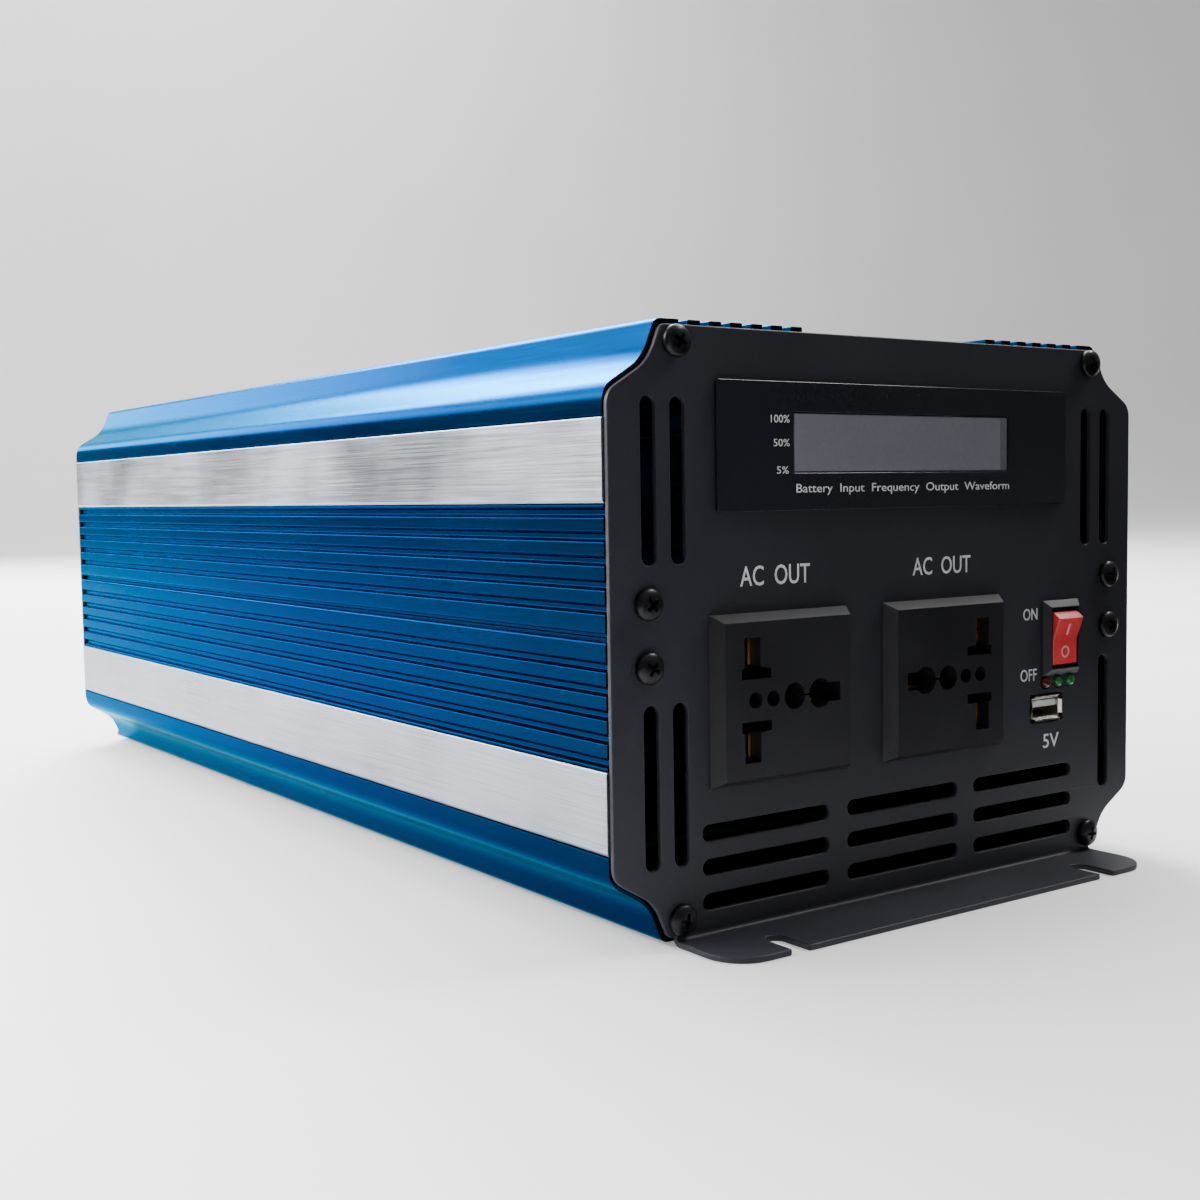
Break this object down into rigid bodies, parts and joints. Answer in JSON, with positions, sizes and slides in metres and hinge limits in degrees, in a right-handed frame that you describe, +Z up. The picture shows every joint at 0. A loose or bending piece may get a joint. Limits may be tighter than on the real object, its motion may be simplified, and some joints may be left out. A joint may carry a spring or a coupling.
{
  "type": "power inverter",
  "caption": "Power inverter in a two-part extruded case with folded end plates, universal sockets, a rocker switch, a display, fans and battery terminals.",
  "frame": {"origin": "centre of the mounting surface: mid width, mid length, level with the undersides of the two flanges", "axes": "+X to the right of someone facing the front plate, +Y along the case from the front plate to the rear plate, +Z up"},
  "size_m": [0.1882, 0.45, 0.1469],
  "materials": {
    "blue_anodised_aluminium": "satin blue anodised, drawn along the length",
    "brushed_aluminium": "brushed along the length",
    "black_powder_coat": "fine black powder coat",
    "black_screw_steel": "black zinc",
    "gloss_black_plastic": "gloss",
    "screen_glass": "gloss grey screen",
    "circuit_board": "solder mask",
    "black_moulded_plastic": "satin moulded",
    "brass": "satin",
    "red_moulded_plastic": "satin moulded",
    "red_lamp_lens": "gloss",
    "green_lamp_lens": "gloss",
    "bright_steel": "nickel plated",
    "guard_steel": "plated",
    "fan_plastic": "satin moulded",
    "plain_aluminium": "mill finish",
    "ferrite_core": "matt sintered",
    "capacitor_sleeve": "shrink sleeve"
  },
  "bodies": {
    "case": {"upper_shell": "blue_anodised_aluminium", "lower_shell": "blue_anodised_aluminium", "trim_strip_upper_left": "brushed_aluminium", "trim_strip_upper_right": "brushed_aluminium", "trim_strip_lower_left": "brushed_aluminium", "trim_strip_lower_right": "brushed_aluminium", "front_plate": "black_powder_coat", "rear_plate": "black_powder_coat", "front_screw_1": "black_screw_steel", "front_screw_2": "black_screw_steel", "front_screw_3": "black_screw_steel", "front_screw_4": "black_screw_steel", "front_screw_5": "black_screw_steel", "front_screw_6": "black_screw_steel", "front_screw_7": "black_screw_steel", "front_screw_8": "black_screw_steel", "rear_screw_1": "black_screw_steel", "rear_screw_2": "black_screw_steel", "rear_screw_3": "black_screw_steel", "rear_screw_4": "black_screw_steel", "rear_screw_5": "black_screw_steel", "rear_screw_6": "black_screw_steel", "rear_screw_7": "black_screw_steel", "rear_screw_8": "black_screw_steel", "display_bezel": "gloss_black_plastic", "lcd_module": "screen_glass", "display_board": "circuit_board", "indicator_board": "circuit_board", "main_board": "circuit_board", "ac_socket_left": "black_moulded_plastic", "ac_socket_right": "black_moulded_plastic", "switch_body": "black_moulded_plastic", "negative_terminal_base": "black_moulded_plastic", "socket_left_line_contact": "brass", "socket_left_neutral_contact": "brass", "socket_left_earth_contact": "brass", "socket_right_line_contact": "brass", "socket_right_neutral_contact": "brass", "socket_right_earth_contact": "brass", "positive_terminal_stud": "brass", "negative_terminal_stud": "brass", "positive_terminal_base": "red_moulded_plastic", "fault_lamp": "red_lamp_lens", "output_lamp": "green_lamp_lens", "input_lamp": "green_lamp_lens", "charging_port": "bright_steel", "positive_terminal_nut": "bright_steel", "negative_terminal_nut": "bright_steel", "fan_guard_left": "guard_steel", "fan_guard_right": "guard_steel", "fan_frame_left": "fan_plastic", "fan_frame_right": "fan_plastic", "heatsink_left": "plain_aluminium", "heatsink_right": "plain_aluminium", "transformer_left": "ferrite_core", "transformer_right": "ferrite_core", "bus_capacitor": "capacitor_sleeve"},
    "rocker": {"switch_rocker": "red_moulded_plastic"},
    "left_rotor": {"fan_rotor_left": "fan_plastic"},
    "right_rotor": {"fan_rotor_right": "fan_plastic"}
  },
  "joints": [
    {"name": "rocker_tilt", "type": "hinge", "parent": "case", "child": "rocker", "pos_m": [0.0625, -0.2019, 0.0642], "axis": [-1, 0, 0], "range_deg": [0, 20]},
    {"name": "left_fan_spin", "type": "hinge", "parent": "case", "child": "left_rotor", "pos_m": [-0.036, 0.1917, 0.096], "axis": [0, 1, 0], "continuous": true},
    {"name": "right_fan_spin", "type": "hinge", "parent": "case", "child": "right_rotor", "pos_m": [0.036, 0.1917, 0.096], "axis": [0, 1, 0], "continuous": true}
  ]
}
